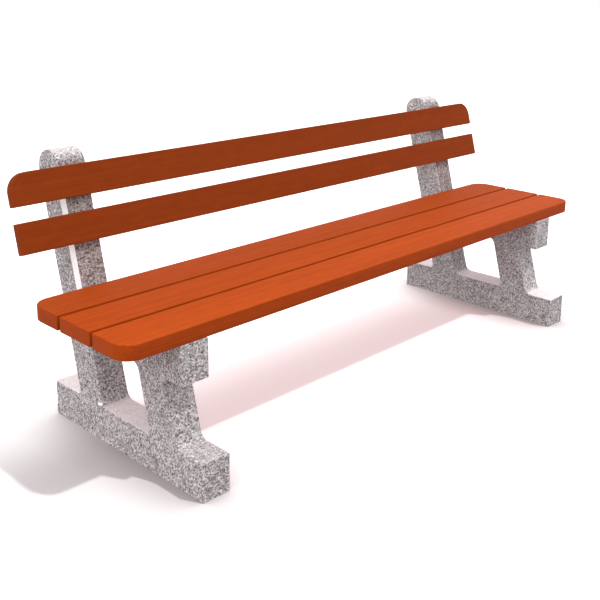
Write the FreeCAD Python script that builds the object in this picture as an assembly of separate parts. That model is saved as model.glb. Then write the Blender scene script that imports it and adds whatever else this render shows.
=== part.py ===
"""Park bench with a reclined back: two precast concrete side frames carry three seat boards and two back slats.

Frame: X runs along the seat, -Y is the sitter's front, +Z is up. The origin is on the floor, in the middle of the
bench's length and depth. Lengths are in millimetres.

Every timber is drawn up to its frames by hidden bolts: each bolt goes through a plastic sleeve cast into the concrete
and into a threaded insert in the back of the timber. Each frame has steel bars cast inside its foot, legs and beam.
"""
import FreeCAD
import Part
import math
import os

BENCH_LENGTH = 2000.0      # seat boards and back slats, end to end

# Side frame, a flat casting
FRAME_SPACING = 1690.0     # outer face to outer face
FRAME_THICKNESS = 85.0
MEMBER_WIDTH = 100.0       # foot, legs and post, square across the member
FOOT_LENGTH = 645.0
LEAN_DEG = 15.0            # legs, post and back slats lean backwards by this
FRONT_LEG_SET_BACK = 75.0  # front of the foot to the front leg's front face, both at the floor
REAR_LEG_SET_BACK = 386.5
SEAT_SUPPORT_Z = 375.0     # top of the beam, where the boards lie
BLOCK_BOTTOM_Z = 272.0     # underside of the nose under the front board
SOFFIT_Z = 279.0           # top of the opening between the legs
HEAD_CENTRE_Z = 715.0      # centre of the post's half-round head
FOOT_FILLET = 25.0         # where a leg's front face meets the foot
SMALL_FILLET = 12.0        # the acute inside corners
SOFFIT_FILLET = 30.0       # upper front corner of the opening
FRAME_ARRIS = 3.0          # rounding of every edge of the two flat sides

# Stopped chamfer on the outer front arris of the post
CHAMFER_SIDE = 20.0
CHAMFER_FRONT = 5.0
CHAMFER_BOTTOM_Z = 380.0
CHAMFER_TOP_Z = 690.0
STOP_BOTTOM_Z = 104.0      # a short piece of the same chamfer, at the foot of the arris
STOP_TOP_Z = 112.0

# Seat boards
BOARD_WIDTH = 130.0
BOARD_THICKNESS = 40.0
BOARD_GAP = 10.0
SEAT_FRONT_INSET = 77.0    # front of the foot to the front board's front edge
CORNER_RADIUS = 50.0       # the seat's and the back's outer corners
BOARD_ARRIS = 3.0          # rounding of the long edges

# Back slats, measured up the post's front face from floor level
SLAT_THICKNESS = 23.0
LOWER_SLAT_START = 544.0
LOWER_SLAT_WIDTH = 81.0
UPPER_SLAT_START = 666.0
UPPER_SLAT_WIDTH = 86.0
SLAT_ARRIS = 2.5

# Fixings: M8 hexagon bolts, large washers, threaded inserts and cast-in sleeves
BOLT_RADIUS = 4.0
BOLT_LENGTH = 100.0
HEAD_ACROSS_FLATS = 13.0
HEAD_HEIGHT = 5.3
WASHER_RADIUS = 12.0
WASHER_THICKNESS = 2.0
RECESS_RADIUS = 15.0       # pocket in the concrete around each bolt head
SLEEVE_OUTER_RADIUS = 7.0
SLEEVE_INNER_RADIUS = 5.0
INSERT_RADIUS = 6.5
SEAT_INSERT_LENGTH = 15.0
BACK_INSERT_LENGTH = 13.0
SEAT_BEARING_Z = 289.0     # concrete face that a seat bolt's washer bears on
BACK_BEARING_DEPTH = 90.0  # the same for a back bolt, from the post's front face
SEAT_BOLT_INSETS = (112.0, 305.0, 420.0)  # from the front of the foot, one under each board

# Reinforcement
BAR_RADIUS = 4.0
LEG_BAR_OFFSET = 13.0      # across the frame, from its middle
LEVEL_BAR_OFFSET = 24.0    # foot and beam bars pass outside the leg bars
BAR_DEPTHS = (25.0, 75.0)  # into a leg from its front face
BAR_END_COVER = 25.0
FOOT_BAR_HEIGHTS = (30.0, 70.0)
BEAM_BAR_HEIGHTS = (303.0, 347.0)

LEAN = math.radians(LEAN_DEG)
LEG_RUN = MEMBER_WIDTH / math.cos(LEAN)  # a leg's width measured level
HEAD_SET_BACK = REAR_LEG_SET_BACK + LEG_RUN / 2 + HEAD_CENTRE_Z * math.tan(LEAN)
BENCH_DEPTH = HEAD_SET_BACK + MEMBER_WIDTH / 2  # front of the foot to the back of the post's head
FRONT_Y = -BENCH_DEPTH / 2
FRAME_MIDDLE_X = FRAME_SPACING / 2 - FRAME_THICKNESS / 2
SIDES = {"left": -1, "right": 1}

UP_POST = FreeCAD.Vector(0, math.sin(LEAN), math.cos(LEAN))
INTO_POST = FreeCAD.Vector(0, math.cos(LEAN), -math.sin(LEAN))
UP = FreeCAD.Vector(0, 0, 1)
BACK = FreeCAD.Vector(0, 1, 0)


def leaning(inset, z):
    """Point (y, z) on a face that leans back and is this far behind the foot's front at floor level."""
    return (FRONT_Y + inset + z * math.tan(LEAN), z)


def on_post(x, along, depth):
    """Point along the post's front face, measured up the slope, and a depth into the post."""
    start = FreeCAD.Vector(x, FRONT_Y + REAR_LEG_SET_BACK, 0)
    return start + UP_POST * along + INTO_POST * depth


def rounded_outline(corners):
    """Closed wire in the plane x = 0 through corners (y, z, radius), each radius an arc tangent to both sides."""
    edges = []
    ends = []
    count = len(corners)
    for i, (y, z, radius) in enumerate(corners):
        here = FreeCAD.Vector(0, y, z)
        before = FreeCAD.Vector(0, *corners[i - 1][:2]) - here
        after = FreeCAD.Vector(0, *corners[(i + 1) % count][:2]) - here
        before.normalize()
        after.normalize()
        half_angle = before.getAngle(after) / 2
        tangent = radius / math.tan(half_angle)
        bisector = (before + after).normalize()
        middle = here + bisector * (radius / math.sin(half_angle) - radius)
        ends.append((here + before * tangent, middle, here + after * tangent, radius))
    for i, (start, middle, end, radius) in enumerate(ends):
        previous_end = ends[i - 1][2]
        if previous_end.distanceToPoint(start) > 0.001:
            edges.append(Part.LineSegment(previous_end, start).toShape())
        if radius > 0:
            edges.append(Part.Arc(start, middle, end).toShape())
    return Part.Wire(edges)


def frame_outline():
    """Outside of the side frame: foot, front leg with its nose, beam, and the post up to its head's centre."""
    foot_top = MEMBER_WIDTH
    head_middle = leaning(REAR_LEG_SET_BACK + LEG_RUN / 2, HEAD_CENTRE_Z)
    half = MEMBER_WIDTH / 2
    head_front = (head_middle[0] - half * math.cos(LEAN), head_middle[1] + half * math.sin(LEAN))
    head_back = (head_middle[0] + half * math.cos(LEAN), head_middle[1] - half * math.sin(LEAN))
    nose_y = FRONT_Y + FRONT_LEG_SET_BACK
    return rounded_outline([
        (FRONT_Y, 0, 0),
        (FRONT_Y + FOOT_LENGTH, 0, 0),
        (FRONT_Y + FOOT_LENGTH, foot_top, 0),
        (*leaning(REAR_LEG_SET_BACK + LEG_RUN, foot_top), SMALL_FILLET),
        (*head_back, 0),
        (*head_front, 0),
        (*leaning(REAR_LEG_SET_BACK, SEAT_SUPPORT_Z), 0),
        (nose_y, SEAT_SUPPORT_Z, 0),
        (nose_y, BLOCK_BOTTOM_Z, 0),
        (*leaning(FRONT_LEG_SET_BACK, BLOCK_BOTTOM_Z), SMALL_FILLET),
        (*leaning(FRONT_LEG_SET_BACK, foot_top), FOOT_FILLET),
        (FRONT_Y, foot_top, 0),
    ])


def opening_outline():
    """The hole between the legs, a leaning parallelogram with rounded corners."""
    foot_top = MEMBER_WIDTH
    return rounded_outline([
        (*leaning(FRONT_LEG_SET_BACK + LEG_RUN, foot_top), SMALL_FILLET),
        (*leaning(REAR_LEG_SET_BACK, foot_top), FOOT_FILLET),
        (*leaning(REAR_LEG_SET_BACK, SOFFIT_Z), SMALL_FILLET),
        (*leaning(FRONT_LEG_SET_BACK + LEG_RUN, SOFFIT_Z), SOFFIT_FILLET),
    ])


def slab(wire, x, thickness):
    """Solid of a wire in the plane x = 0, carried to x and thickened along +X."""
    face = Part.Face(wire)
    face.translate(FreeCAD.Vector(x, 0, 0))
    return face.extrude(FreeCAD.Vector(thickness, 0, 0))


def post_head(x):
    """Disc that rounds the top of the post."""
    y, z = leaning(REAR_LEG_SET_BACK + LEG_RUN / 2, HEAD_CENTRE_Z)
    centre = FreeCAD.Vector(x, y, z)
    return Part.makeCylinder(MEMBER_WIDTH / 2, FRAME_THICKNESS, centre, FreeCAD.Vector(1, 0, 0))


def arris_wedge(side, bottom_z, top_z):
    """Three-sided prism along the post's outer front arris, which cuts the chamfer between two heights."""
    outer_x = side * FRAME_SPACING / 2
    start = on_post(outer_x, bottom_z / math.cos(LEAN), 0)
    beyond = 1.0
    corner = start + FreeCAD.Vector(side * beyond, 0, 0) - INTO_POST * beyond
    slope = CHAMFER_SIDE / CHAMFER_FRONT
    along_side = start + INTO_POST * (CHAMFER_SIDE + beyond * slope) + FreeCAD.Vector(side * beyond, 0, 0)
    along_front = start - FreeCAD.Vector(side * (CHAMFER_FRONT + beyond / slope), 0, 0) - INTO_POST * beyond
    triangle = Part.Face(Part.makePolygon([corner, along_side, along_front, corner]))
    return triangle.extrude(UP_POST * ((top_z - bottom_z) / math.cos(LEAN)))


def rod(start, direction, length, radius):
    """Plain round bar."""
    return Part.makeCylinder(radius, length, start, direction)


def tube(start, direction, length, outer, inner):
    """Round bar with a hole down the middle."""
    return rod(start, direction, length, outer).cut(rod(start, direction, length, inner))


def seat_axes(side):
    """Where the seat bolts of one frame meet the concrete that their washers bear on."""
    return [FreeCAD.Vector(side * FRAME_MIDDLE_X, FRONT_Y + inset, SEAT_BEARING_Z) for inset in SEAT_BOLT_INSETS]


def back_axes(side):
    """The same for the back bolts, one behind the middle of each slat."""
    middles = (LOWER_SLAT_START + LOWER_SLAT_WIDTH / 2, UPPER_SLAT_START + UPPER_SLAT_WIDTH / 2)
    return [on_post(side * FRAME_MIDDLE_X, along, BACK_BEARING_DEPTH) for along in middles]


def fixing_hole(bearing, direction, depth):
    """Sleeve hole from the bearing face to the timber, and the pocket for washer and bolt head behind it."""
    hole = rod(bearing, direction, depth, SLEEVE_OUTER_RADIUS)
    pocket = rod(bearing, direction * -1, MEMBER_WIDTH, RECESS_RADIUS)
    return [hole, pocket.common(near_box(bearing))]


def near_box(point):
    """Box around a bearing point that keeps its pocket from reaching any other member of the frame."""
    reach = 25.0
    corner = point - FreeCAD.Vector(reach, reach, reach)
    return Part.makeBox(2 * reach, 2 * reach, 2 * reach, corner)


def hex_bolt(bearing, direction):
    """Hexagon-headed bolt whose washer bears at the given point and whose shank runs along direction."""
    under_head = bearing - direction * WASHER_THICKNESS
    shank = rod(under_head, direction, BOLT_LENGTH, BOLT_RADIUS)
    across_corners = HEAD_ACROSS_FLATS / math.sqrt(3)
    side_way = FreeCAD.Vector(1, 0, 0)
    other_way = direction.cross(side_way)
    points = []
    for i in range(7):
        turn = math.radians(60 * i)
        offset = side_way * math.cos(turn) + other_way * math.sin(turn)
        points.append(under_head + offset * across_corners)
    head = Part.Face(Part.makePolygon(points)).extrude(direction * -HEAD_HEIGHT)
    return head.fuse(shank).removeSplitter()


def washer(bearing, direction):
    """Large washer between the bolt head and the concrete."""
    start = bearing - direction * WASHER_THICKNESS
    return tube(start, direction, WASHER_THICKNESS, WASHER_RADIUS, BOLT_RADIUS + 0.4)


def board(front_y, rounded_corner_y):
    """Seat board from its front edge, its two outer corners at rounded_corner_y rounded in plan if it has any."""
    size = FreeCAD.Vector(BENCH_LENGTH, BOARD_WIDTH, BOARD_THICKNESS)
    solid = Part.makeBox(*size, FreeCAD.Vector(-BENCH_LENGTH / 2, front_y, SEAT_SUPPORT_Z))
    if rounded_corner_y is not None:
        corners = [e for e in solid.Edges if is_along(e, UP) and abs(e.CenterOfMass.y - rounded_corner_y) < 1]
        solid = solid.makeFillet(CORNER_RADIUS, corners)
    top_z = SEAT_SUPPORT_Z + BOARD_THICKNESS
    top = [e for e in solid.Edges if abs(e.CenterOfMass.z - top_z) < 0.01]
    bottom = [e for e in solid.Edges if abs(e.CenterOfMass.z - SEAT_SUPPORT_Z) < 0.01]
    return solid.makeFillet(BOARD_ARRIS, top + bottom)


def is_along(edge, direction):
    """True if a straight edge runs along direction."""
    if not isinstance(edge.Curve, Part.Line):
        return False
    return abs(abs(edge.Curve.Direction.dot(direction)) - 1) < 0.001


def slat(along, width, rounded_top):
    """Back slat on the post's front face, its two upper corners rounded if rounded_top."""
    corner = on_post(-BENCH_LENGTH / 2, along, -SLAT_THICKNESS)
    right = FreeCAD.Vector(BENCH_LENGTH, 0, 0)
    face = Part.Face(Part.makePolygon([
        corner,
        corner + right,
        corner + right + UP_POST * width,
        corner + UP_POST * width,
        corner,
    ]))
    solid = face.extrude(INTO_POST * SLAT_THICKNESS)
    if rounded_top:
        top = corner + UP_POST * width
        corners = [e for e in solid.Edges if is_along(e, INTO_POST) and (e.CenterOfMass - top).dot(UP_POST) > -1]
        solid = solid.makeFillet(CORNER_RADIUS, corners)
    outline = [e for e in solid.Edges if not is_along(e, INTO_POST)]
    return solid.makeFillet(SLAT_ARRIS, outline)


def level_bars(side, heights, start_inset, end_inset):
    """Bars along the foot or the beam."""
    bars = []
    for height in heights:
        for offset in (-LEVEL_BAR_OFFSET, LEVEL_BAR_OFFSET):
            start = FreeCAD.Vector(side * FRAME_MIDDLE_X + offset, FRONT_Y + start_inset, height)
            bars.append(rod(start, BACK, end_inset - start_inset, BAR_RADIUS))
    return bars


def leg_bars(side, set_back, top_z):
    """Bars up a leg, from low in the foot to top_z."""
    bars = []
    for depth in BAR_DEPTHS:
        for offset in (-LEG_BAR_OFFSET, LEG_BAR_OFFSET):
            x = side * FRAME_MIDDLE_X + offset
            foot = FreeCAD.Vector(x, FRONT_Y + set_back, 0) + INTO_POST * depth
            start = foot + UP_POST * ((BAR_END_COVER - foot.z) / math.cos(LEAN))
            bars.append(rod(start, UP_POST, (top_z - BAR_END_COVER) / math.cos(LEAN), BAR_RADIUS))
    return bars


def reinforcement(side):
    """The four groups of bars in one frame, by name."""
    nose_end = FRONT_LEG_SET_BACK + BAR_END_COVER
    post_end = REAR_LEG_SET_BACK + LEG_RUN + BEAM_BAR_HEIGHTS[0] * math.tan(LEAN) - BAR_END_COVER
    return {
        "foot_bars": level_bars(side, FOOT_BAR_HEIGHTS, BAR_END_COVER, FOOT_LENGTH - BAR_END_COVER),
        "beam_bars": level_bars(side, BEAM_BAR_HEIGHTS, nose_end, post_end),
        "front_leg_bars": leg_bars(side, FRONT_LEG_SET_BACK, SEAT_SUPPORT_Z - BAR_END_COVER),
        "post_bars": leg_bars(side, REAR_LEG_SET_BACK, HEAD_CENTRE_Z),
    }


def is_on_a_side(edge, x):
    """True if an edge lies in one of the two flat sides of the casting that starts at x."""
    along_x = [vertex.Point.x - x for vertex in edge.Vertexes]
    return max(along_x) < 0.01 or min(along_x) > FRAME_THICKNESS - 0.01


def side_frame(side, bars):
    """One concrete casting, with its fixing holes and the room that its bars take up."""
    x = side * FRAME_MIDDLE_X - FRAME_THICKNESS / 2
    solid = slab(frame_outline(), x, FRAME_THICKNESS).fuse(post_head(x)).removeSplitter()
    solid = solid.cut(slab(opening_outline(), x, FRAME_THICKNESS))
    round_the_sides = [e for e in solid.Edges if is_on_a_side(e, x)]
    solid = solid.makeFillet(FRAME_ARRIS, round_the_sides)
    taken = [arris_wedge(side, CHAMFER_BOTTOM_Z, CHAMFER_TOP_Z)]
    taken.append(arris_wedge(side, STOP_BOTTOM_Z, STOP_TOP_Z))
    for bearing in seat_axes(side):
        taken += fixing_hole(bearing, UP, SEAT_SUPPORT_Z - SEAT_BEARING_Z)
    for bearing in back_axes(side):
        taken += fixing_hole(bearing, INTO_POST * -1, BACK_BEARING_DEPTH)
    return solid.cut(taken).cut(bars)


def inserts(bearings, direction, depth, length):
    """Threaded inserts in the backs of the timbers; depth is from the bearing face to the timber."""
    return [tube(b + direction * depth, direction, length, INSERT_RADIUS, BOLT_RADIUS) for b in bearings]


def with_pockets(timber, bearings, direction, depth, length):
    """Timber with the blind holes that its inserts are screwed into."""
    pockets = [rod(b + direction * depth, direction, length, INSERT_RADIUS) for b in bearings]
    return timber.cut(pockets)


def build():
    """Every node of the bench by name, each a list of solids."""
    seat = [bearing for side in SIDES.values() for bearing in seat_axes(side)]
    back = [bearing for side in SIDES.values() for bearing in back_axes(side)]
    out_of_post = INTO_POST * -1
    seat_depth = SEAT_SUPPORT_Z - SEAT_BEARING_Z
    nodes = {}
    for name, side in SIDES.items():
        groups = reinforcement(side)
        bars = [bar for group in groups.values() for bar in group]
        nodes[f"side_frame_{name}"] = [side_frame(side, bars)]
        for group, solids in groups.items():
            nodes[f"{group}_{name}"] = solids

    front_y = FRONT_Y + SEAT_FRONT_INSET
    step = BOARD_WIDTH + BOARD_GAP
    rear_y = front_y + 2 * step + BOARD_WIDTH
    boards = {
        "seat_board_front": board(front_y, front_y),
        "seat_board_middle": board(front_y + step, None),
        "seat_board_rear": board(front_y + 2 * step, rear_y),
    }
    for name, timber in boards.items():
        nodes[name] = [with_pockets(timber, seat, UP, seat_depth, SEAT_INSERT_LENGTH)]
    slats = {
        "back_slat_lower": slat(LOWER_SLAT_START, LOWER_SLAT_WIDTH, False),
        "back_slat_upper": slat(UPPER_SLAT_START, UPPER_SLAT_WIDTH, True),
    }
    for name, timber in slats.items():
        nodes[name] = [with_pockets(timber, back, out_of_post, BACK_BEARING_DEPTH, BACK_INSERT_LENGTH)]

    for name, bearings, direction, depth, insert_length in (
        ("seat", seat, UP, seat_depth, SEAT_INSERT_LENGTH),
        ("back", back, out_of_post, BACK_BEARING_DEPTH, BACK_INSERT_LENGTH),
    ):
        nodes[f"{name}_bolts"] = [hex_bolt(b, direction) for b in bearings]
        nodes[f"{name}_washers"] = [washer(b, direction) for b in bearings]
        nodes[f"{name}_inserts"] = inserts(bearings, direction, depth, insert_length)
        nodes[f"{name}_sleeves"] = [
            tube(b, direction, depth, SLEEVE_OUTER_RADIUS, SLEEVE_INNER_RADIUS) for b in bearings
        ]
    return nodes


os.makedirs("parts", exist_ok=True)
for node_name, node_solids in build().items():
    shape = node_solids[0] if len(node_solids) == 1 else Part.makeCompound(node_solids)
    if not shape.isValid():
        print("not valid:", node_name)
    print(f"{node_name:24s} solids {len(shape.Solids):2d}  volume {shape.Volume / 1e6:8.3f} litres")
    shape.exportStep(f"parts/{node_name}.step")
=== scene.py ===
"""Park bench with a reclined back: two washed concrete side frames, three seat boards and two back slats.

Metres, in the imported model's frame: X along the seat, -Y the sitter's front, +Z up, the origin on the floor.
Left is -X and right is +X, as someone in front of the bench sees it.
"""

import math

import bpy
import numpy as np
from mathutils import Matrix, Vector


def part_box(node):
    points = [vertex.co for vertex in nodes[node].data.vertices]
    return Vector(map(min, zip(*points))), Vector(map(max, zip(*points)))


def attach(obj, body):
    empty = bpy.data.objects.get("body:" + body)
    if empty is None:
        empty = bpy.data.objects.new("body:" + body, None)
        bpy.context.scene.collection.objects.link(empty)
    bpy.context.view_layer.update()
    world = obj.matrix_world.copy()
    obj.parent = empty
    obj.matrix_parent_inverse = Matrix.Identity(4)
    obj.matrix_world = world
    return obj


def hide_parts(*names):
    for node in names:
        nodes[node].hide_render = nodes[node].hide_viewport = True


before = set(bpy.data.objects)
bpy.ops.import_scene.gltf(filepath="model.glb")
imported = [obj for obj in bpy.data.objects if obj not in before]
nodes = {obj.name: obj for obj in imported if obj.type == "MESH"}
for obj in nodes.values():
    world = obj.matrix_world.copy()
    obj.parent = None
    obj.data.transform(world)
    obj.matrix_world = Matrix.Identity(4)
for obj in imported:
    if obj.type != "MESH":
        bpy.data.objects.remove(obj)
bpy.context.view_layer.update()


# --- Side frames ------------------------------------------------------------------------------------------------
# Two castings of fine-grained precast concrete, each poured lying on its side in a steel mould. The skin is washed
# off before it sets, so crushed granite and basalt show all over. The narrow stopped chamfer up the post's outer
# front arris is painted near white, a painted highlight along the arris. Level tops carry painted top light, and the
# post's front above the seat carries painted shade.

GRIT = 0.0042            # crushed stone that fills the mix, drawn 1.5 times its size so that it shows
GRIT_BEND = 0.9          # how far a stone's sides bend, in stones
BENDS_PER_STONE = 0.6
GRIT_TINT = 0.4          # how much of the stones' own pink and blue shows
CHIP = 0.0095            # the odd larger stone
CHIP_SHARE = 0.2         # how many of the larger cells hold such a stone
CHIP_RIM = (0.30, 0.42)  # how far from its cell's middle it ends, in cells
SEAM = 0.14              # half the width of the cement between two stones, in stones
CEMENT = "#A29B99"
STONE_RELIEF = 0.0005    # how far the stones stand out of the washed cement
CLOUD = 0.16             # damp and dry patches
CLOUD_SHADES = (0.92, 1.06)
TOP_LIGHT_COLOUR = "#FDEEF1"       # painted light on level tops
LEVEL = (0.6, 1.0)       # how far up a face looks where the painted top light starts, and where all of it is there
TOP_LIGHT_SHARE = 0.95          # how far level tops are painted pale with it
TOP_LIGHT_LEAST_STONE = 0.72   # the stones that take least of the painted light take this share
HEAD_TOP_LIGHT = 0.35     # less painted light on the posts' round heads
HEAD_FROM = 0.60         # the heads are above this height
LEFT_FRONT_TOP_LIGHT = 0.12           # and hardly any on the front of the left foot
LEFT_FRONT_UP_TO = -0.19    # along Y
LEAN = math.radians(15)  # legs, post and back lean backwards by this
POST_FRONT_SHADE = (0.75, 0.69, 0.675, 1.0)   # red, green and blue that painted shade, faintly red, leaves of the post's front
POST_FRONT_SHADE_FROM = 0.40   # from just under the top of the seat upwards
CHAMFER_SIDE = 0.020     # the chamfer's width on the casting's side, and on its front
CHAMFER_FRONT = 0.005
SAME_WAY = 0.9999        # cosine of the angle within which a face counts as the chamfer
STONE_ROUGHNESS = 0.88
CHAMFER_ROUGHNESS = 0.55
CHAMFER_MARK = 1 / 220      # faint marks of about 5 mm in the chamfer's painted highlight


def linear(colour):
    """Linear RGBA of an sRGB hex colour: the low end is a straight line, the rest a power of 2.4."""
    part = np.array([int(colour[i:i + 2], 16) for i in (1, 3, 5)]) / 255
    red_green_blue = np.where(part <= 0.04045, part / 12.92, ((part + 0.055) / 1.055) ** 2.4)
    return (*(float(value) for value in red_green_blue), 1.0)


def add_node(tree, kind, settings=None, inputs=None, stops=()):
    """Adds a node. Inputs go by name or number, each a value or another node's output; stops fill a colour ramp."""
    node = tree.nodes.new(kind)
    for name, value in (settings or {}).items():
        setattr(node, name, value)
    for name, value in (inputs or {}).items():
        if isinstance(value, bpy.types.NodeSocket):
            tree.links.new(value, node.inputs[name])
        else:
            node.inputs[name].default_value = value
    if stops:
        ramp = node.color_ramp.elements
        while len(ramp) < len(stops):
            ramp.new(1.0)
        for element, (position, colour) in zip(ramp, stops):
            element.position = position
            element.color = linear(colour)
    return node


def new_material(name):
    """Material with one Principled shader joined to its output, and its Object coordinates."""
    material = bpy.data.materials.new(name)
    material.use_nodes = True
    tree = material.node_tree
    tree.nodes.clear()
    shader = add_node(tree, "ShaderNodeBsdfPrincipled")
    add_node(tree, "ShaderNodeOutputMaterial", inputs={"Surface": shader.outputs["BSDF"]})
    place = add_node(tree, "ShaderNodeTexCoord").outputs["Object"]
    return material, tree, shader, place


def washed_concrete():
    """Salt-and-pepper grit in grey cement: every stone is one cell of a cell pattern, with a tone of its own."""
    material, tree, shader, place = new_material("exposed_aggregate_concrete")

    # Broken stone: the cells' straight sides are bent a little, so that no stone is a polygon
    crumble = add_node(tree, "ShaderNodeTexNoise",
                       inputs={"Vector": place, "Scale": BENDS_PER_STONE / GRIT, "Detail": 1.0})
    offset = add_node(tree, "ShaderNodeVectorMath", {"operation": "SCALE"},
                      {0: crumble.outputs["Color"], "Scale": GRIT_BEND * GRIT})
    bent = add_node(tree, "ShaderNodeVectorMath", {"operation": "ADD"}, {0: place, 1: offset.outputs[0]}).outputs[0]

    grit = add_node(tree, "ShaderNodeTexVoronoi", inputs={"Vector": bent, "Scale": 1 / GRIT})
    grit_tone = add_node(tree, "ShaderNodeSeparateColor", inputs={0: grit.outputs["Color"]})
    stone = add_node(tree, "ShaderNodeValToRGB", inputs={0: grit_tone.outputs[0]}, stops=[
        (0.00, "#454244"), (0.12, "#767173"), (0.28, "#9A9597"), (0.45, "#B6B1B3"),
        (0.62, "#CECACB"), (0.80, "#E2DFE0"), (1.00, "#F7F6F6"),
    ])
    # Some granite is pink, some basalt blue-grey
    tint = add_node(tree, "ShaderNodeValToRGB", inputs={0: grit_tone.outputs[1]}, stops=[
        (0.0, "#C9D2DC"), (0.35, "#E4E4E6"), (0.7, "#E9E2E0"), (1.0, "#EACFC8"),
    ])
    tinted = add_node(tree, "ShaderNodeMix", {"data_type": "RGBA", "blend_type": "MULTIPLY"},
                      {0: GRIT_TINT, 6: stone.outputs[0], 7: tint.outputs[0]}).outputs[2]

    # The odd larger stone, dark or nearly white, rounder than the grit
    chip = add_node(tree, "ShaderNodeTexVoronoi", inputs={"Vector": bent, "Scale": 1 / CHIP})
    chip_tone = add_node(tree, "ShaderNodeSeparateColor", inputs={0: chip.outputs["Color"]})
    chip_is_there = add_node(tree, "ShaderNodeMath", {"operation": "LESS_THAN"},
                             {0: chip_tone.outputs[0], 1: CHIP_SHARE})
    chip_shape = add_node(tree, "ShaderNodeMapRange", {"interpolation_type": "SMOOTHSTEP"}, {
        "Value": chip.outputs["Distance"], "From Min": CHIP_RIM[0], "From Max": CHIP_RIM[1],
        "To Min": 1.0, "To Max": 0.0,
    })
    chip_mask = add_node(tree, "ShaderNodeMath", {"operation": "MULTIPLY"},
                         {0: chip_is_there.outputs[0], 1: chip_shape.outputs[0]}).outputs[0]
    chip_colour = add_node(tree, "ShaderNodeValToRGB", inputs={0: chip_tone.outputs[1]}, stops=[
        (0.0, "#5A575B"), (0.55, "#7C777A"), (0.75, "#C6C1C1"), (1.0, "#E6E4E4"),
    ])
    stones = add_node(tree, "ShaderNodeMix", {"data_type": "RGBA"},
                      {0: chip_mask, 6: tinted, 7: chip_colour.outputs[0]}).outputs[2]

    # Cement left between the stones
    seam = add_node(tree, "ShaderNodeTexVoronoi", {"feature": "DISTANCE_TO_EDGE"}, {"Vector": bent, "Scale": 1 / GRIT})
    stone_height = add_node(tree, "ShaderNodeMapRange", {"interpolation_type": "SMOOTHSTEP"},
                            {"Value": seam.outputs["Distance"], "From Min": 0.0, "From Max": SEAM}).outputs[0]
    mix = add_node(tree, "ShaderNodeMix", {"data_type": "RGBA"},
                   {0: stone_height, 6: linear(CEMENT), 7: stones}).outputs[2]

    # Damp and dry patches, a few per cent darker and lighter
    cloud = add_node(tree, "ShaderNodeTexNoise", inputs={"Vector": place, "Scale": 1 / CLOUD, "Detail": 3.0})
    shade = add_node(tree, "ShaderNodeMapRange", inputs={
        "Value": cloud.outputs[0], "From Min": 0.3, "From Max": 0.7,
        "To Min": CLOUD_SHADES[0], "To Max": CLOUD_SHADES[1],
    })
    washed = add_node(tree, "ShaderNodeVectorMath", {"operation": "SCALE"},
                      {0: mix, "Scale": shade.outputs[0]}).outputs[0]

    # Painted top light: whatever faces straight up is painted paler, less on the heads and the left foot's front
    facing = add_node(tree, "ShaderNodeNewGeometry").outputs["True Normal"]
    upness = add_node(tree, "ShaderNodeSeparateXYZ", inputs={0: facing}).outputs["Z"]
    position = add_node(tree, "ShaderNodeSeparateXYZ", inputs={0: place})
    in_front = add_node(tree, "ShaderNodeMath", {"operation": "LESS_THAN"},
                        {0: position.outputs["Y"], 1: LEFT_FRONT_UP_TO})
    on_left = add_node(tree, "ShaderNodeMath", {"operation": "LESS_THAN"}, {0: position.outputs["X"], 1: 0.0})
    left_front_foot = add_node(tree, "ShaderNodeMath", {"operation": "MULTIPLY"},
                      {0: in_front.outputs[0], 1: on_left.outputs[0]}).outputs[0]
    on_head = add_node(tree, "ShaderNodeMath", {"operation": "GREATER_THAN"},
                       {0: position.outputs["Z"], 1: HEAD_FROM}).outputs[0]
    top_light_here = add_node(tree, "ShaderNodeMix", inputs={0: on_head, 2: TOP_LIGHT_SHARE, 3: HEAD_TOP_LIGHT}).outputs[0]
    top_light_most = add_node(tree, "ShaderNodeMix", inputs={0: left_front_foot, 2: top_light_here, 3: LEFT_FRONT_TOP_LIGHT}).outputs[0]
    top_light_facing = add_node(tree, "ShaderNodeMapRange", {"interpolation_type": "SMOOTHSTEP"}, {
        "Value": upness, "From Min": LEVEL[0], "From Max": LEVEL[1], "To Max": top_light_most,
    }).outputs[0]
    # Some stones show through the painted top light more than others
    share = add_node(tree, "ShaderNodeMapRange",
                     inputs={"Value": grit_tone.outputs[2], "To Min": TOP_LIGHT_LEAST_STONE}).outputs[0]
    painted_top_light = add_node(tree, "ShaderNodeMath", {"operation": "MULTIPLY"}, {0: top_light_facing, 1: share}).outputs[0]
    top_lit = add_node(tree, "ShaderNodeMix", {"data_type": "RGBA"},
                         {0: painted_top_light, 6: washed, 7: linear(TOP_LIGHT_COLOUR)}).outputs[2]

    # Painted shade, faintly red, on the sloping front of the post above the seat
    to_sitter = (0.0, -math.cos(LEAN), math.sin(LEAN))
    on_front = add_node(tree, "ShaderNodeVectorMath", {"operation": "DOT_PRODUCT"}, {0: facing, 1: to_sitter})
    above_seat = add_node(tree, "ShaderNodeMath", {"operation": "GREATER_THAN"},
                          {0: position.outputs["Z"], 1: POST_FRONT_SHADE_FROM}).outputs[0]
    front_shade_mask = add_node(tree, "ShaderNodeMapRange", inputs={
        "Value": on_front.outputs["Value"], "From Min": 0.9, "From Max": 0.98, "To Max": above_seat,
    }).outputs[0]
    front_shaded = add_node(tree, "ShaderNodeMix", {"data_type": "RGBA", "blend_type": "MULTIPLY"},
                       {0: front_shade_mask, 6: top_lit, 7: POST_FRONT_SHADE}).outputs[2]

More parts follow.
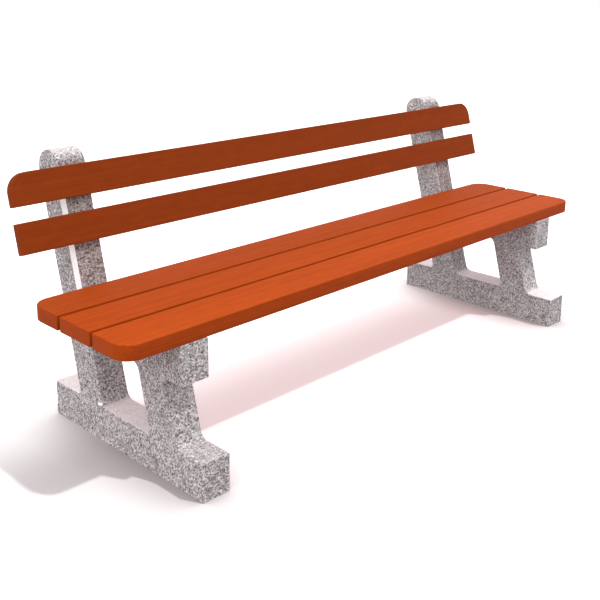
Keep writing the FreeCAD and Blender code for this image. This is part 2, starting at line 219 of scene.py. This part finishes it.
    # The chamfer is known by the way it faces, which is the same on both frames but for the side
    facing_out = add_node(tree, "ShaderNodeVectorMath", {"operation": "ABSOLUTE"}, {0: facing}).outputs[0]
    slant = math.hypot(CHAMFER_SIDE, CHAMFER_FRONT)
    out, front = CHAMFER_SIDE / slant, CHAMFER_FRONT / slant
    chamfer = (out, front * math.cos(LEAN), front * math.sin(LEAN))
    likeness = add_node(tree, "ShaderNodeVectorMath", {"operation": "DOT_PRODUCT"}, {0: facing_out, 1: chamfer})
    on_chamfer = add_node(tree, "ShaderNodeMath", {"operation": "GREATER_THAN"},
                          {0: likeness.outputs["Value"], 1: SAME_WAY}).outputs[0]
    # Painted highlight: the chamfer is coloured near white, so that it shows as a bright line along the arris
    marks = add_node(tree, "ShaderNodeTexNoise", inputs={"Vector": place, "Scale": 1 / CHAMFER_MARK, "Detail": 2.0})
    chamfer_highlight = add_node(tree, "ShaderNodeValToRGB", inputs={0: marks.outputs[0]},
                    stops=[(0.3, "#F0EDEC"), (0.7, "#FFFEFE")])
    colour = add_node(tree, "ShaderNodeMix", {"data_type": "RGBA"},
                      {0: on_chamfer, 6: front_shaded, 7: chamfer_highlight.outputs[0]}).outputs[2]

    # Rough stone all over, and no relief and a slight sheen on the chamfer
    roughness = add_node(tree, "ShaderNodeMix",
                         inputs={0: on_chamfer, 2: STONE_ROUGHNESS, 3: CHAMFER_ROUGHNESS}).outputs[0]
    relief = add_node(tree, "ShaderNodeMath", {"operation": "ADD"}, {0: stone_height, 1: chip_mask})
    kept = add_node(tree, "ShaderNodeMath", {"operation": "SUBTRACT"}, {0: 1.0, 1: on_chamfer})
    height = add_node(tree, "ShaderNodeMath", {"operation": "MULTIPLY"}, {0: relief.outputs[0], 1: kept.outputs[0]})
    bump = add_node(tree, "ShaderNodeBump", inputs={"Height": height.outputs[0], "Distance": STONE_RELIEF})
    tree.links.new(colour, shader.inputs["Base Color"])
    tree.links.new(roughness, shader.inputs["Roughness"])
    tree.links.new(bump.outputs[0], shader.inputs["Normal"])
    shader.inputs["IOR"].default_value = 1.5
    return material


def give_material(node_name, material):
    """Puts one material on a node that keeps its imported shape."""
    piece = nodes[node_name]
    piece.data.materials.clear()
    piece.data.materials.append(material)


concrete = washed_concrete()
for side in ("left", "right"):
    give_material(f"side_frame_{side}", concrete)


# --- Reinforcement ----------------------------------------------------------------------------------------------
# Bars of hot-rolled steel, 8 mm thick, tied into a cage and cast inside each frame, so none of them shows. Rolling
# leaves slanting ribs and a blue-brown scale, with rust where the bars lay in the yard.

RIB_SPACING = 0.0055     # from one rib to the next along the bar
RIB_HEIGHT = 0.0004
RUST_SPOT = 1 / 90       # about 11 mm


def ribbed_steel(name, lean):
    """Scale and rust on ribs that go across the bar, which lies back from the upright by the lean."""
    material, tree, shader, place = new_material(name)
    turned = add_node(tree, "ShaderNodeMapping", inputs={"Vector": place, "Rotation": (lean, 0.0, 0.0)}).outputs[0]
    rust = add_node(tree, "ShaderNodeTexNoise", inputs={"Vector": place, "Scale": 1 / RUST_SPOT, "Detail": 5.0})
    colour = add_node(tree, "ShaderNodeValToRGB", inputs={0: rust.outputs[0]},
                      stops=[(0.35, "#3C3B3D"), (0.55, "#5A4A40"), (0.75, "#7C4A2C")])
    dull = add_node(tree, "ShaderNodeMapRange", inputs={"Value": rust.outputs[0], "To Min": 0.4, "To Max": 0.9})
    # A wave of scale 1 repeats every 2 pi / 20 metres
    ribs = add_node(tree, "ShaderNodeTexWave", {"bands_direction": "Z"},
                    {"Vector": turned, "Scale": 2 * math.pi / 20 / RIB_SPACING})
    bump = add_node(tree, "ShaderNodeBump", inputs={"Height": ribs.outputs[1], "Distance": RIB_HEIGHT})
    tree.links.new(colour.outputs[0], shader.inputs["Base Color"])
    tree.links.new(dull.outputs[0], shader.inputs["Roughness"])
    tree.links.new(bump.outputs[0], shader.inputs["Normal"])
    shader.inputs["Metallic"].default_value = 0.7
    return material


for material, groups in (
    (ribbed_steel("hot_rolled_steel_level", math.pi / 2), ("foot_bars", "beam_bars")),
    (ribbed_steel("hot_rolled_steel_leaning", LEAN), ("front_leg_bars", "post_bars")),
):
    for group in groups:
        for side in ("left", "right"):
            give_material(f"{group}_{side}", material)


# --- Cast-in sleeves --------------------------------------------------------------------------------------------
# A grey polypropylene tube around each bolt keeps its hole open while the concrete is poured. Cut from a length of
# extruded tube, so it has a soft sheen with fine lines along it.

SLEEVE_LINE = 0.0007     # from one fine line to the next
SLEEVE_LINE_DEPTH = 0.00005


def sleeve_plastic():
    """Extruded polypropylene, a little lighter where the die dragged."""
    material, tree, shader, place = new_material("extruded_polypropylene")
    drag = add_node(tree, "ShaderNodeTexNoise", inputs={"Vector": place, "Scale": 1 / SLEEVE_LINE, "Detail": 1.0})
    colour = add_node(tree, "ShaderNodeValToRGB", inputs={0: drag.outputs[0]},
                      stops=[(0.3, "#4A4C4F"), (0.7, "#5B5D60")])
    bump = add_node(tree, "ShaderNodeBump", inputs={"Height": drag.outputs[0], "Distance": SLEEVE_LINE_DEPTH})
    tree.links.new(colour.outputs[0], shader.inputs["Base Color"])
    tree.links.new(bump.outputs[0], shader.inputs["Normal"])
    shader.inputs["Roughness"].default_value = 0.45
    shader.inputs["IOR"].default_value = 1.49
    return material


plastic = sleeve_plastic()
for name in ("seat_sleeves", "back_sleeves"):
    give_material(name, plastic)


# --- Bolts, washers and threaded inserts ------------------------------------------------------------------------
# M8 hexagon bolts of pressed steel, large punched washers and screw-in inserts, all electroplated with zinc. The
# bolts come from under the beam and from behind the post, each in a round pocket, and draw the timbers up tight.

HEAD_ACROSS_FLATS = 0.013
HEAD_HEIGHT = 0.0053
HEAD_CHAMFER = math.radians(30)
CROWN_RADIUS = 0.0058     # flat disc in the middle of the head
SHANK_RADIUS = 0.004
THREAD_PITCH = 0.00125
THREAD_DEPTH = 0.0007
THREAD_LENGTH = 0.030
TIP_RADIUS = 0.0028       # the thread narrows to this over the last millimetre
TIP_LENGTH = 0.001
BOLT_LENGTH = 0.100
WASHER_THICKNESS = 0.002
WASHER_REACH = 0.03       # wider than a washer, and less than the gap to the next one
ROUND_STEPS = 48
STEPS_PER_PITCH = 6
PLATING_CLOUD = 1 / 260   # just under 4 mm
PLATING_RELIEF = 0.00004


def zinc_plate():
    """Electroplated zinc: cool, bright and a little cloudy where the bath was uneven."""
    material, tree, shader, place = new_material("zinc_plated_steel")
    cloudy = add_node(tree, "ShaderNodeTexNoise", inputs={"Vector": place, "Scale": 1 / PLATING_CLOUD, "Detail": 4.0})
    colour = add_node(tree, "ShaderNodeValToRGB", inputs={0: cloudy.outputs[0]},
                      stops=[(0.3, "#AEB1B4"), (0.6, "#C6C8C9"), (0.8, "#D2CFC4")])
    gloss = add_node(tree, "ShaderNodeMapRange", inputs={"Value": cloudy.outputs[0], "To Min": 0.24, "To Max": 0.48})
    bump = add_node(tree, "ShaderNodeBump", inputs={"Height": cloudy.outputs[0], "Distance": PLATING_RELIEF})
    tree.links.new(colour.outputs[0], shader.inputs["Base Color"])
    tree.links.new(gloss.outputs[0], shader.inputs["Roughness"])
    tree.links.new(bump.outputs[0], shader.inputs["Normal"])
    shader.inputs["Metallic"].default_value = 1.0
    return material


def mesh_object(name, points, faces, smooth):
    """Object at the origin from an array of points, its faces and which of them are smooth."""
    mesh = bpy.data.meshes.new(name)
    mesh.from_pydata(points.tolist(), [], faces)
    mesh.polygons.foreach_set("use_smooth", smooth)
    mesh.update()
    piece = bpy.data.objects.new(name, mesh)
    bpy.context.scene.collection.objects.link(piece)
    return piece


def ring_faces(rings, around, start=0):
    """Quads between closed rings of points, and the two flat ends that close the first and the last ring."""
    k, i = np.meshgrid(np.arange(rings - 1), np.arange(around), indexing="ij")
    following = (i + 1) % around
    quads = np.stack([k * around + i, k * around + following, (k + 1) * around + following, (k + 1) * around + i])
    first = list(range(start + around - 1, start - 1, -1))
    last = list(range(start + (rings - 1) * around, start + rings * around))
    return (quads.reshape(4, -1).T + start).tolist(), [first, last]


def bolt_surface(under_head, along):
    """One bolt. Its radius is a function of the way round and of the station from crown to tip.

    A hexagon's radius at an angle is half its width over flats divided by the cosine of the angle from the nearest
    flat's middle. A cone cuts the head's corners: the further out a point of the crown's rim lies, the lower it is.
    Down the shank the radius is a circle's, and over the thread it rises and falls by a wave of one pitch.
    """
    turn = np.linspace(0, 2 * np.pi, ROUND_STEPS, endpoint=False)
    from_flat = (turn + np.pi / 6) % (np.pi / 3) - np.pi / 6
    hexagon = HEAD_ACROSS_FLATS / 2 / np.cos(from_flat)
    crown = np.full(ROUND_STEPS, CROWN_RADIUS)
    sunk = (hexagon - CROWN_RADIUS) * math.tan(HEAD_CHAMFER)
    thread_start = BOLT_LENGTH - THREAD_LENGTH
    station = np.linspace(thread_start, BOLT_LENGTH - TIP_LENGTH,
                          int(THREAD_LENGTH / THREAD_PITCH * STEPS_PER_PITCH))
    wave = 0.5 + 0.5 * np.cos(2 * np.pi * (station - thread_start) / THREAD_PITCH)
    thread = SHANK_RADIUS - THREAD_DEPTH * (1 - wave)
    circle = np.ones(ROUND_STEPS)
    radius = [crown, hexagon, hexagon, circle * SHANK_RADIUS, *(circle * r for r in thread), circle * TIP_RADIUS]
    height = [circle * -HEAD_HEIGHT, sunk - HEAD_HEIGHT, circle * 0, circle * 0, *(circle * s for s in station),
              circle * BOLT_LENGTH]
    radius, height = np.array(radius), np.array(height)
    side_way = np.array([1.0, 0.0, 0.0])
    other_way = np.cross(along, side_way)
    out = np.cos(turn)[:, None] * side_way + np.sin(turn)[:, None] * other_way
    return under_head + radius[..., None] * out + height[..., None] * along


def washer_centres(washer_node):
    """Middle of each washer: a point and all the points within reach of it make one washer, as wide as their box."""
    vertices = nodes[washer_node].data.vertices
    places = np.empty(3 * len(vertices), dtype=np.float32)
    vertices.foreach_get("co", places)
    left = places.reshape(-1, 3).astype(float)
    centres = []
    while len(left):
        near = np.linalg.norm(left - left[0], axis=1) < WASHER_REACH
        washer = left[near]
        centres.append((washer.min(axis=0) + washer.max(axis=0)) / 2)
        left = left[~near]
    return centres


def bolts(name, along, washer_node):
    """All the bolts of one timber group, each standing on its own washer's outer face."""
    surfaces = [bolt_surface(centre - along * WASHER_THICKNESS / 2, along) for centre in washer_centres(washer_node)]
    points = np.concatenate([surface.reshape(-1, 3) for surface in surfaces])
    faces, smooth = [], []
    for number, surface in enumerate(surfaces):
        rings, around = surface.shape[:2]
        sides, ends = ring_faces(rings, around, number * rings * around)
        faces += sides + ends
        # The head's cone, flats and underside are flat; the shank and the thread are round
        smooth += [False] * (3 * around) + [True] * (len(sides) - 3 * around) + [False, False]
    piece = mesh_object(name, points, faces, smooth)
    piece.data.materials.append(zinc)
    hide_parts(name)
    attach(piece, "root")


into_post = np.array([0.0, math.cos(LEAN), -math.sin(LEAN)])
zinc = zinc_plate()
for name in ("seat_washers", "back_washers", "seat_inserts", "back_inserts"):
    give_material(name, zinc)
bolts("seat_bolts", np.array([0.0, 0.0, 1.0]), "seat_washers")
bolts("back_bolts", -into_post, "back_washers")


# --- Seat boards ------------------------------------------------------------------------------------------------
# Three planed pine boards, 130 by 40 mm, all their edges eased and the seat's four outer corners cut round. Two
# coats of translucent orange-brown glaze let the grain show faintly. They lie on the beams with a gap between them.

CORNER_RADIUS = 0.050
SAWN_CORNER = 0.0035      # a square corner, just taken off with sandpaper
BOARD_ARRIS = 0.003
CORNER_STEPS = 14
ARRIS_STEPS = 5
RING_SPACING = 0.0055     # growth rings of the pine
RING_DRIFT = 0.12         # along the log they change this much as fast as across it
RING_SHOW = 0.16          # how much of the figure is rings, and the rest fibre
FIBRE_WIDTH = 0.0060      # streaks of fibre that show through the glaze
FIBRE_LENGTH = 0.45
GRAIN_RELIEF = 0.0001
SOAK_PATCH = 0.022        # patches where the glaze soaked in more or less
SOAK_STRETCH = 0.4        # they change this much as fast along the board
SOAK_SHARE = 0.06
SEAT_GLAZE = ("#97390B", "#A2400F", "#AB4713")
BOARD_SIDE_SHADE = 0.84         # painted shade: the sides and ends keep this much of the face's brightness


def plank(name, size, radii, arris, centre, across, outward):
    """Plank whose surface is a function of two parameters: the way round its outline and the way over its edge.

    The outline is a rectangle with a quarter circle at each corner, and moving it in by a distance takes that
    distance off each quarter circle's radius. Over the edge, the distance in and the height follow a quarter circle
    up from the back face, a straight line, and a quarter circle on to the front face. The flat faces close it.
    """
    length, width, thickness = size
    radii = np.array(radii)
    turn = np.linspace(0, np.pi / 2, CORNER_STEPS)
    angle = (turn + np.pi / 2 * np.arange(4)[:, None]).ravel()
    corner = np.array([(1, 1), (-1, 1), (-1, -1), (1, -1)])
    middle = np.repeat(corner * (np.array([length, width]) / 2 - radii[:, None]), CORNER_STEPS, axis=0)
    radius = np.repeat(radii, CORNER_STEPS)

    over = np.linspace(0, np.pi / 2, ARRIS_STEPS)
    inset = arris * (1 - np.sin(over))
    rise = arris * (1 - np.cos(over))
    inset = np.concatenate([inset, inset[::-1]])
    height = np.concatenate([rise - thickness / 2, (thickness / 2 - rise)[::-1]])

    reach = (radius - inset[:, None])[..., None] * np.stack([np.cos(angle), np.sin(angle)], axis=1)
    flat = middle + reach
    along = np.array([1.0, 0.0, 0.0])
    points = centre + flat[..., :1] * along + flat[..., 1:] * across + height[:, None, None] * outward
    sides, ends = ring_faces(len(height), len(angle))
    return mesh_object(name, points.reshape(-1, 3), sides + ends, [True] * len(sides) + [False, False])


def glazed_pine(name, log_centre, colours, face, tone, side_shade):
    """Pine under glaze: rings around the log's own middle, and long fibre streaks, both only just showing.

    The face is the way that the timber's good side faces, tone its brightness there, lowered on the rear boards as
    painted shade, and the last argument what is left of that brightness on its sides and ends, where shade is
    painted. The glaze fills the pores, so the shine is soft and weak.
    """
    material, tree, shader, place = new_material(name)
    in_log = add_node(tree, "ShaderNodeMapping",
                      inputs={"Vector": place, "Location": (0.0, -log_centre[0], -log_centre[1])}).outputs[0]
    slow = add_node(tree, "ShaderNodeMapping", inputs={"Vector": in_log, "Scale": (RING_DRIFT, 1.0, 1.0)}).outputs[0]
    rings = add_node(tree, "ShaderNodeTexWave", {"wave_type": "RINGS", "rings_direction": "X"}, {
        "Vector": slow, "Scale": 2 * math.pi / 20 / RING_SPACING, "Distortion": 3.0, "Detail": 2.0,
        "Detail Scale": 0.35,
    }).outputs[1]
    stretched = add_node(tree, "ShaderNodeMapping", inputs={
        "Vector": in_log, "Scale": (1 / FIBRE_LENGTH, 1 / FIBRE_WIDTH, 1 / FIBRE_WIDTH),
    }).outputs[0]
    fibre = add_node(tree, "ShaderNodeTexNoise",
                     inputs={"Vector": stretched, "Scale": 1.0, "Detail": 4.0, "Roughness": 0.6}).outputs[0]
    grain = add_node(tree, "ShaderNodeMix", inputs={0: RING_SHOW, 2: fibre, 3: rings}).outputs[0]
    face_colour = add_node(tree, "ShaderNodeValToRGB", inputs={0: grain},
                           stops=list(zip((0.25, 0.5, 0.75), colours)))
    facing = add_node(tree, "ShaderNodeNewGeometry").outputs["True Normal"]
    likeness = add_node(tree, "ShaderNodeVectorMath", {"operation": "DOT_PRODUCT"}, {0: facing, 1: face})
    # Painted shade: the sides and ends are darker than the good face
    painted_side_shade = add_node(tree, "ShaderNodeMapRange", inputs={
        "Value": likeness.outputs["Value"], "From Min": 0.2, "From Max": 0.9, "To Min": tone * side_shade, "To Max": tone,
    }).outputs[0]
    # The glaze soaks in unevenly
    soaked = add_node(tree, "ShaderNodeMapping", inputs={
        "Vector": place, "Scale": (SOAK_STRETCH / SOAK_PATCH, 1 / SOAK_PATCH, 1 / SOAK_PATCH),
    }).outputs[0]
    patches = add_node(tree, "ShaderNodeTexNoise", inputs={"Vector": soaked, "Scale": 1.0, "Detail": 4.0}).outputs[0]
    patch_shade = add_node(tree, "ShaderNodeMapRange", inputs={
        "Value": patches, "From Min": 0.3, "From Max": 0.7, "To Min": 1 - SOAK_SHARE, "To Max": 1 + SOAK_SHARE,
    }).outputs[0]
    shade = add_node(tree, "ShaderNodeMath", {"operation": "MULTIPLY"}, {0: painted_side_shade, 1: patch_shade}).outputs[0]
    colour = add_node(tree, "ShaderNodeVectorMath", {"operation": "SCALE"}, {0: face_colour.outputs[0], "Scale": shade})
    sheen = add_node(tree, "ShaderNodeMapRange", inputs={"Value": fibre, "To Min": 0.50, "To Max": 0.66})
    bump = add_node(tree, "ShaderNodeBump", inputs={"Height": grain, "Distance": GRAIN_RELIEF})
    tree.links.new(colour.outputs[0], shader.inputs["Base Color"])
    tree.links.new(sheen.outputs[0], shader.inputs["Roughness"])
    tree.links.new(bump.outputs[0], shader.inputs["Normal"])
    shader.inputs["IOR"].default_value = 1.45
    shader.inputs["Specular IOR Level"].default_value = 0.05
    return material


def box_of(node_name):
    """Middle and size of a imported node's box."""
    low, high = (np.array(corner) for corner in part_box(node_name))
    return (low + high) / 2, high - low


def add_timber(piece, material, node_name):
    """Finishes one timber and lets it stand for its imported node."""
    piece.data.materials.append(material)
    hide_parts(node_name)
    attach(piece, "root")


# Corners go round from the back right: back right, back left, front left, front right. The heart is where the
# middle of the log lies from the middle of the board, in Y and Z. The tone paints shade, deeper from the front board
# to the rear one.
ROUND, SQUARE = CORNER_RADIUS, SAWN_CORNER
for place_name, radii, heart, tone in (
    ("front", (SQUARE, SQUARE, ROUND, ROUND), (0.018, -0.055), 1.04),
    ("middle", (SQUARE, SQUARE, SQUARE, SQUARE), (-0.012, -0.085), 0.97),
    ("rear", (ROUND, ROUND, SQUARE, SQUARE), (-0.025, -0.047), 0.90),
):
    node_name = f"seat_board_{place_name}"
    middle, size = box_of(node_name)
    board = plank(f"board_{place_name}", size, radii, BOARD_ARRIS, middle, np.array([0, 1, 0]), np.array([0, 0, 1]))
    log_centre = (middle[1] + heart[0], middle[2] + heart[1])
    pine = glazed_pine(f"glazed_pine_seat_{place_name}", log_centre, SEAT_GLAZE, (0, 0, 1), tone, BOARD_SIDE_SHADE)
    add_timber(board, pine, node_name)


# --- Back slats -------------------------------------------------------------------------------------------------
# Two thinner slats of the same glazed pine, flat on the sloping fronts of the posts. The upper one is a little wider
# and has its two top corners cut round. Held from behind, so their fronts are plain.

SLAT_THICKNESS = 0.023
SLAT_ARRIS = 0.0025
SHADED_SLAT_GLAZE = ("#7F320D", "#83350E", "#873811")   # the seat's glaze darkened by painted shade on the slats
SLAT_SIDE_SHADE = 0.82                                 # painted shade on the sides and ends, as on the boards

up_post = np.array([0.0, math.sin(LEAN), math.cos(LEAN)])
for place_name, width, radii, heart in (
    ("lower", 0.081, (SQUARE, SQUARE, SQUARE, SQUARE), (0.060, -0.010)),
    ("upper", 0.086, (ROUND, ROUND, SQUARE, SQUARE), (0.048, 0.014)),
):
    node_name = f"back_slat_{place_name}"
    middle, size = box_of(node_name)
    slat = plank(f"slat_{place_name}", (size[0], width, SLAT_THICKNESS), radii, SLAT_ARRIS, middle, up_post, -into_post)
    log_centre = (middle[1] + heart[0], middle[2] + heart[1])
    pine = glazed_pine(f"glazed_pine_back_{place_name}", log_centre, SHADED_SLAT_GLAZE, -into_post, 1.0, SLAT_SIDE_SHADE)
    add_timber(slat, pine, node_name)


# --- Studio floor -----------------------------------------------------------------------------------------------
# Not part of the bench: a plain matt white floor that runs out of sight. It glows a little, so that it is pure white
# behind the bench and far off, where no shadow is wanted.

FLOOR_HALF = 30.0
UNEVEN_PATCH = 1.25             # patches of slightly thinner paint
WHITE_GLOW = 0.5                # enough to drown a shadow
SHADOW_DEPTH = (0.0, 0.40)      # along Y, the seat's shadow fades out between these
SHADOW_REACH = (1.7, 1.3)       # and it is gone past this half-length and half-depth
SHADOW_KEPT = 0.72              # it starts to fade at this share of them
BLUSH = (0.42, 0.28, 0.29)      # light that the glazed seat warms on its way to the floor
BLUSH_REACH = (0.55, 1.0)       # all there up to the first distance from the middle, and weak from the second
BLUSH_WEAK = 0.2
CONTACT_REACH = 0.15            # how far the dark round each foot spreads, and how dark it gets
CONTACT_DARKEST = 0.55


def white_floor():
    """Matt white paint with a very faint unevenness, and the glow."""
    material, tree, shader, place = new_material("matt_white_floor_paint")
    uneven = add_node(tree, "ShaderNodeTexNoise", inputs={"Vector": place, "Scale": 1 / UNEVEN_PATCH, "Detail": 1.0})
    colour = add_node(tree, "ShaderNodeValToRGB", inputs={0: uneven.outputs[0]},
                      stops=[(0.2, "#DCDADA"), (0.8, "#E0DEDE")])
    shader.inputs["Roughness"].default_value = 0.9
    # White glow behind the bench and far off, faintly pink glow under the seat
    position = add_node(tree, "ShaderNodeSeparateXYZ", inputs={0: place})
    behind = add_node(tree, "ShaderNodeMapRange", {"interpolation_type": "SMOOTHSTEP"}, {
        "Value": position.outputs["Y"], "From Min": SHADOW_DEPTH[0], "From Max": SHADOW_DEPTH[1],
        "To Max": WHITE_GLOW,
    }).outputs[0]
    flat = add_node(tree, "ShaderNodeVectorMath", {"operation": "DIVIDE"}, {0: place, 1: (*SHADOW_REACH, 1.0)})
    away = add_node(tree, "ShaderNodeVectorMath", {"operation": "LENGTH"}, {0: flat.outputs[0]}).outputs["Value"]
    far_off = add_node(tree, "ShaderNodeMapRange", {"interpolation_type": "SMOOTHSTEP"},
                       {"Value": away, "From Min": SHADOW_KEPT, "From Max": 1.0, "To Max": WHITE_GLOW}).outputs[0]
    white = add_node(tree, "ShaderNodeMath", {"operation": "MAXIMUM"}, {0: behind, 1: far_off}).outputs[0]
    sideways = add_node(tree, "ShaderNodeMath", {"operation": "ABSOLUTE"}, {0: position.outputs["X"]}).outputs[0]
    under_seat = add_node(tree, "ShaderNodeMapRange", {"interpolation_type": "SMOOTHSTEP"}, {
        "Value": sideways, "From Min": BLUSH_REACH[0], "From Max": BLUSH_REACH[1],
        "To Min": 1.0, "To Max": BLUSH_WEAK,
    }).outputs[0]
    glow = add_node(tree, "ShaderNodeVectorMath", {"operation": "MULTIPLY_ADD"}, {0: BLUSH, 1: under_seat, 2: white})
    # Close round the feet little light gets in
    openness = add_node(tree, "ShaderNodeAmbientOcclusion", {"samples": 8}, {"Distance": CONTACT_REACH}).outputs["AO"]
    dimming = add_node(tree, "ShaderNodeMapRange", inputs={
        "Value": openness, "From Min": 0.5, "From Max": 1.0, "To Min": CONTACT_DARKEST, "To Max": 1.0,
    }).outputs[0]
    dimmed = add_node(tree, "ShaderNodeVectorMath", {"operation": "SCALE"}, {0: colour.outputs[0], "Scale": dimming})
    dimmed_glow = add_node(tree, "ShaderNodeVectorMath", {"operation": "SCALE"},
                           {0: glow.outputs[0], "Scale": dimming})
    tree.links.new(dimmed.outputs[0], shader.inputs["Base Color"])
    tree.links.new(dimmed_glow.outputs[0], shader.inputs["Emission Color"])
    shader.inputs["Emission Strength"].default_value = 1.0
    return material


corners = np.array([(-1, -1, 0), (1, -1, 0), (1, 1, 0), (-1, 1, 0)]) * FLOOR_HALF
floor = mesh_object("floor", corners, [(0, 1, 2, 3)], [False])
floor.data.materials.append(white_floor())
# What the floor throws back at the bench comes from the lower half of the studio light instead
floor.visible_diffuse = False
floor.visible_shadow = False


# --- Light ------------------------------------------------------------------------------------------------------
# A white studio that is brightest overhead. A small lamp high in front, a little to the right, throws the shadows,
# and wide windows on both sides light the frames. The floor has its own lamp and window in place of these, so that
# its shadow can be paler or darker without a change to the bench.

FROM_BELOW = (0.55, 0.47, 0.48, 1.0)   # what a white floor throws back, warmed by the seat above it
SKY_LOW = 0.72                         # brightness at the horizon, and overhead
SKY_HIGH = 1.05
LAMPS = {  # name: direction to it, strength, how wide it is in degrees, what it lights
    "lamp_on_bench": ((0.228, -0.454, 0.861), 1.1, 4, "bench"),
    "lamp_on_floor": ((0.228, -0.454, 0.861), 2.2, 2, "floor"),
    "window_on_floor": ((0.80, -0.35, 0.45), 0.7, 50, "floor"),
    "window_right": ((0.90, 0.10, 0.42), 1.3, 60, "bench"),
    "window_left": ((-0.85, -0.12, 0.50), 1.7, 60, "bench"),
}

world = bpy.data.worlds.new("studio")
bpy.context.scene.world = world
world.use_nodes = True
tree = world.node_tree
tree.nodes.clear()
direction = add_node(tree, "ShaderNodeTexCoord").outputs["Generated"]
upness = add_node(tree, "ShaderNodeSeparateXYZ", inputs={0: direction}).outputs["Z"]
sky = add_node(tree, "ShaderNodeMapRange", {"interpolation_type": "SMOOTHSTEP"},
               {"Value": upness, "To Min": SKY_LOW, "To Max": SKY_HIGH}).outputs[0]
above = add_node(tree, "ShaderNodeMath", {"operation": "GREATER_THAN"}, {0: upness, 1: 0.0}).outputs[0]
glow = add_node(tree, "ShaderNodeMix", {"data_type": "RGBA"}, {0: above, 6: FROM_BELOW, 7: sky}).outputs[2]
# Plain white behind the bench
seen = add_node(tree, "ShaderNodeLightPath").outputs["Is Camera Ray"]
shown = add_node(tree, "ShaderNodeMix", {"data_type": "RGBA"}, {0: seen, 6: glow, 7: (1, 1, 1, 1)}).outputs[2]
background = add_node(tree, "ShaderNodeBackground", inputs={"Color": shown})
add_node(tree, "ShaderNodeOutputWorld", inputs={"Surface": background.outputs[0]})

# A lamp lights only the floor or all but the floor, by the collection that it is linked to
linked = {}
for what, state in (("floor", "INCLUDE"), ("bench", "EXCLUDE")):
    linked[what] = bpy.data.collections.new(f"lights_{what}")
    linked[what].objects.link(floor)
    linked[what].collection_objects[0].light_linking.link_state = state
for name, (towards, strength, softness, what) in LAMPS.items():
    lamp_data = bpy.data.lights.new(name, "SUN")
    lamp_data.energy = strength
    lamp_data.angle = math.radians(softness)
    lamp = bpy.data.objects.new(name, lamp_data)
    lamp.rotation_mode = "QUATERNION"
    lamp.rotation_quaternion = Vector(towards).to_track_quat("Z", "Y")
    lamp.light_linking.receiver_collection = linked[what]
    lamp.visible_glossy = name == "lamp_on_bench"    # the wide windows don't mirror in the glaze
    bpy.context.scene.collection.objects.link(lamp)


# --- Camera -----------------------------------------------------------------------------------------------------
# Stands off the bench's left front, higher than its back, and looks along the bench and a little down. Part of the
# way down is a shift of the view, which keeps the posts nearly upright in it.

CAMERA_PLACE = Vector((-2.084, -1.854, 1.227))
CAMERA_YAW = math.radians(45.75)     # from +Y towards +X
CAMERA_PITCH = math.radians(-12.69)
CAMERA_ROLL = math.radians(0.67)
LENS = 54.9                          # mm, on Blender's sensor of 36 mm
SHIFT = -0.2                         # of the view's width

forward = Vector((math.sin(CAMERA_YAW) * math.cos(CAMERA_PITCH), math.cos(CAMERA_YAW) * math.cos(CAMERA_PITCH),
                  math.sin(CAMERA_PITCH)))
level = forward.cross(Vector((0, 0, 1))).normalized()
right = math.cos(CAMERA_ROLL) * level + math.sin(CAMERA_ROLL) * level.cross(forward)
up = right.cross(forward)
camera_data = bpy.data.cameras.new("camera")
camera_data.lens = LENS
camera_data.shift_y = SHIFT
camera = bpy.data.objects.new("camera", camera_data)
camera.matrix_world = Matrix.Translation(CAMERA_PLACE) @ Matrix((right, up, -forward)).transposed().to_4x4()
bpy.context.scene.collection.objects.link(camera)
bpy.context.scene.camera = camera
bpy.context.scene.view_settings.view_transform = "Standard"
